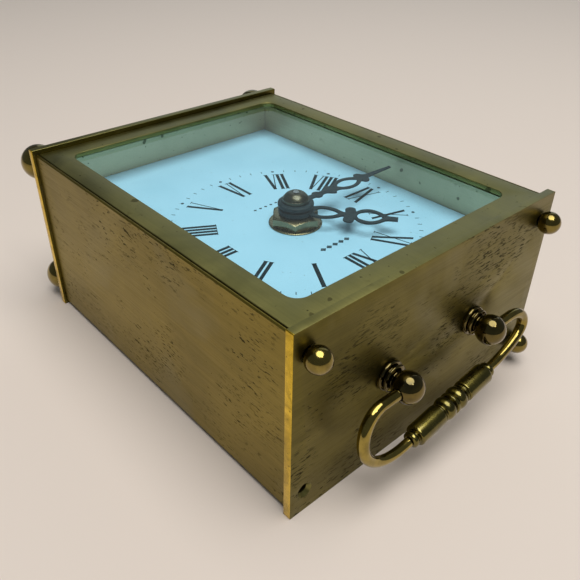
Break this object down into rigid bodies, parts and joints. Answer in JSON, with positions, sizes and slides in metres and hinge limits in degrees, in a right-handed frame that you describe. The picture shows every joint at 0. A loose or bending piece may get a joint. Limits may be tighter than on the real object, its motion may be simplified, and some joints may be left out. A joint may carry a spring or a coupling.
{
  "type": "carriage clock",
  "caption": "Small brass carriage clock with glazed front, white Roman dial, pierced hands, ball feet, ball screws and a swinging bail handle, for lying flat or standing.",
  "frame": {"origin": "centre of the case's width and height, at the level of the end plates' back edges: the clock lies on its back", "axes": "+X to the 3 o'clock side, +Y to the top plate and handle (12 o'clock), +Z out of the dial, up as it lies"},
  "size_m": [0.0816, 0.1183, 0.0466],
  "materials": {
    "brushed_brass": "brushed, aged and pitted",
    "satin_brass": "satin, tarnished",
    "polished_brass": "polished, worn",
    "clear_glass": "clear",
    "white_dial": "satin white with black marks",
    "black_steel": "satin black",
    "black_plastic": "moulded",
    "white_plastic": "moulded",
    "steel": "bright",
    "copper": "enamelled copper wire winding",
    "circuit_green": "solder mask",
    "battery_wrap": "printed sleeve"
  },
  "bodies": {
    "case": {"back_cover": "satin_brass", "back_cover_screw_1": "steel", "back_cover_screw_2": "steel", "back_cover_screw_3": "steel", "back_cover_screw_4": "steel", "ball_foot_back_left": "polished_brass", "ball_foot_back_right": "polished_brass", "ball_foot_front_left": "polished_brass", "ball_foot_front_right": "polished_brass", "ball_screw_back_left": "polished_brass", "ball_screw_front_left": "polished_brass", "ball_screw_front_right": "polished_brass", "battery": "battery_wrap", "battery_contact_minus": "steel", "battery_contact_plus": "steel", "bottom_plate": "brushed_brass", "circuit_board": "circuit_green", "coil": "copper", "dial": "white_dial", "dial_nut": "polished_brass", "dial_rest_bottom": "black_plastic", "dial_rest_top": "black_plastic", "dial_strip_bottom": "satin_brass", "dial_strip_top": "satin_brass", "dial_washer": "polished_brass", "front_frame": "satin_brass", "glass": "clear_glass", "glass_retainer": "satin_brass", "handle_post_left": "polished_brass", "handle_post_nut_left": "steel", "handle_post_nut_right": "steel", "handle_post_right": "polished_brass", "left_side_panel": "brushed_brass", "middle_plate": "satin_brass", "movement_back": "black_plastic", "movement_front": "black_plastic", "quartz_crystal": "steel", "right_side_panel": "brushed_brass", "stator": "steel", "top_plate": "brushed_brass", "train_bridge": "satin_brass"},
    "handle": {"handle_arm_right": "polished_brass", "handle_arm_left": "polished_brass", "handle_grip": "polished_brass"},
    "minute_hand": {"minute_hand": "black_steel", "cap_nut": "polished_brass", "minute_arbor": "steel", "cannon_pinion": "polished_brass"},
    "hour_hand": {"hour_hand": "black_steel", "hour_wheel": "polished_brass"},
    "minute_wheel": {"minute_wheel": "polished_brass"},
    "set_knob": {"set_knob": "black_plastic"},
    "centre_wheel": {"centre_wheel": "polished_brass"},
    "third_wheel": {"third_wheel": "polished_brass"},
    "seconds_wheel": {"seconds_wheel": "white_plastic"},
    "step_wheel": {"step_wheel": "white_plastic"},
    "rotor": {"rotor": "black_plastic"},
    "battery_lid": {"battery_lid": "black_plastic"}
  },
  "joints": [
    {"name": "handle_swing", "type": "hinge", "parent": "case", "child": "handle", "pos_m": [0, 0.0548, 0.0233], "axis": [1, 0, 0], "range_deg": [-20, 181]},
    {"name": "minute_hand_spin", "type": "hinge", "parent": "case", "child": "minute_hand", "pos_m": [0, 0.00635, 0.03], "axis": [0, 0, 1], "continuous": true},
    {"name": "hour_hand_spin", "type": "hinge", "parent": "case", "child": "hour_hand", "pos_m": [0, 0.00635, 0.03], "axis": [0, 0, 1], "continuous": true},
    {"name": "minute_wheel_spin", "type": "hinge", "parent": "case", "child": "minute_wheel", "pos_m": [-0.0064, 0.00635, 0.03], "axis": [0, 0, 1], "continuous": true},
    {"name": "set_knob_spin", "type": "hinge", "parent": "case", "child": "set_knob", "pos_m": [-0.01093, 0.00183, 0.03], "axis": [0, 0, 1], "continuous": true},
    {"name": "seconds_wheel_spin", "type": "hinge", "parent": "case", "child": "seconds_wheel", "pos_m": [0.00618, 0.01586, 0.03], "axis": [0, 0, 1], "continuous": true},
    {"name": "third_wheel_spin", "type": "hinge", "parent": "case", "child": "third_wheel", "pos_m": [0.00618, 0.00992, 0.03], "axis": [0, 0, 1], "continuous": true},
    {"name": "centre_wheel_spin", "type": "hinge", "parent": "case", "child": "centre_wheel", "pos_m": [0, 0.00635, 0.03], "axis": [0, 0, 1], "continuous": true},
    {"name": "step_wheel_spin", "type": "hinge", "parent": "case", "child": "step_wheel", "pos_m": [0.00218, 0.01817, 0.03], "axis": [0, 0, 1], "continuous": true},
    {"name": "rotor_spin", "type": "hinge", "parent": "case", "child": "rotor", "pos_m": [-0.00142, 0.01817, 0.03], "axis": [0, 0, 1], "continuous": true},
    {"name": "battery_lid_slide", "type": "slide", "parent": "case", "child": "battery_lid", "axis": [0, -1, 0], "range_m": [0, 0.0048]}
  ],
  "couplings": [
    {"joint": "hour_hand_spin", "follows": "minute_hand_spin", "ratio": 0.083333},
    {"joint": "minute_wheel_spin", "follows": "minute_hand_spin", "ratio": -0.33333},
    {"joint": "set_knob_spin", "follows": "minute_hand_spin", "ratio": 1},
    {"joint": "third_wheel_spin", "follows": "seconds_wheel_spin", "ratio": -0.125},
    {"joint": "centre_wheel_spin", "follows": "seconds_wheel_spin", "ratio": 0.016667},
    {"joint": "step_wheel_spin", "follows": "seconds_wheel_spin", "ratio": -6},
    {"joint": "rotor_spin", "follows": "seconds_wheel_spin", "ratio": 30}
  ]
}
